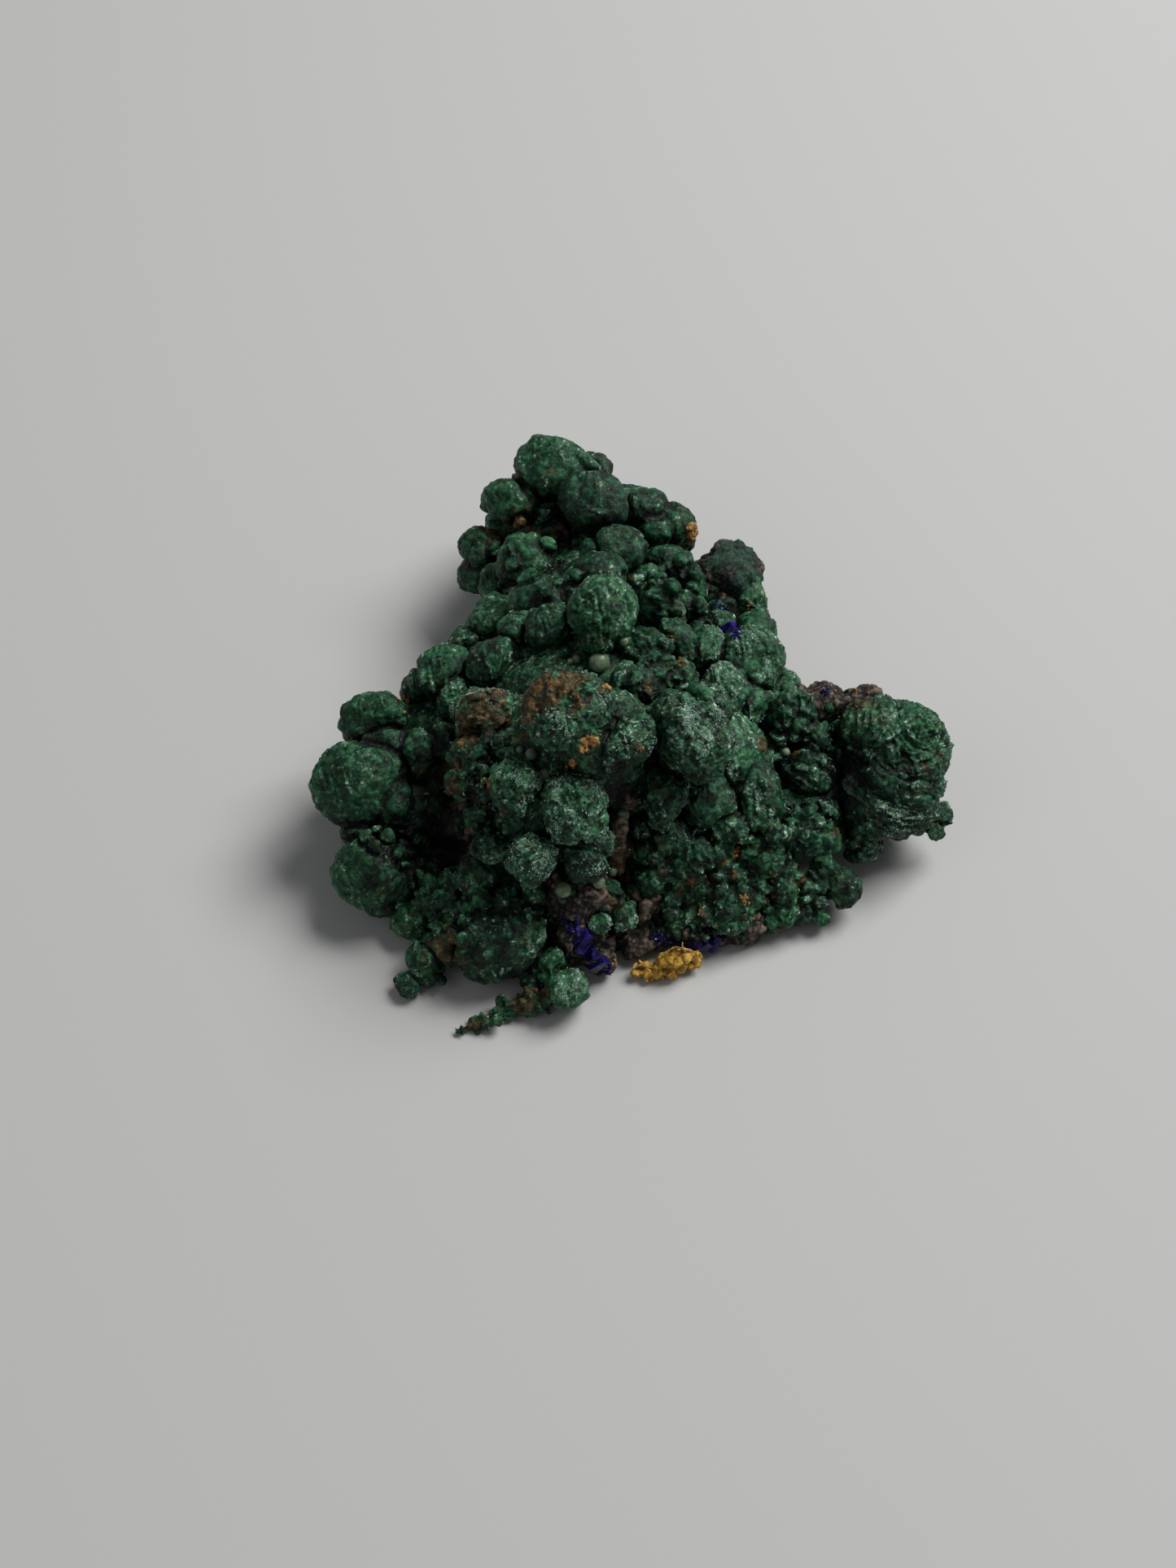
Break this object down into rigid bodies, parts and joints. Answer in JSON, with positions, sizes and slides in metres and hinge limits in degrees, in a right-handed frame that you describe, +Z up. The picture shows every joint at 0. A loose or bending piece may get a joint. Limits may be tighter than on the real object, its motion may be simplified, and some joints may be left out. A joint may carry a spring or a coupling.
{
  "type": "botryoidal malachite specimen",
  "caption": "Cluster of round green malachite lumps on a flat-bottomed piece of brown rock, with dark blue azurite crystals and a curled ochre crust at its front foot.",
  "frame": {"origin": "middle of the bounding box's bottom, on the flat underside that the specimen rests on", "axes": "+Z up; +Y from the front foot of the specimen to its peak at the back; +X to the viewer's right"},
  "size_m": [0.0617, 0.0652, 0.0263],
  "materials": {
    "malachite": "frosted, finely crystalline green lumps, matt with small glints",
    "matrix": "gritty brown-black iron-stained rock",
    "azurite": "small dark blue crystals with a glassy shine",
    "ochre": "earthy yellow-orange crust"
  },
  "bodies": {
    "root": {"matrix": "matrix", "malachite": "malachite", "azurite_front": "azurite", "azurite_foot": "azurite", "azurite_edge_left": "azurite", "azurite_edge_right": "azurite", "azurite_neck": "azurite", "ochre_crust": "ochre"}
  },
  "joints": []
}
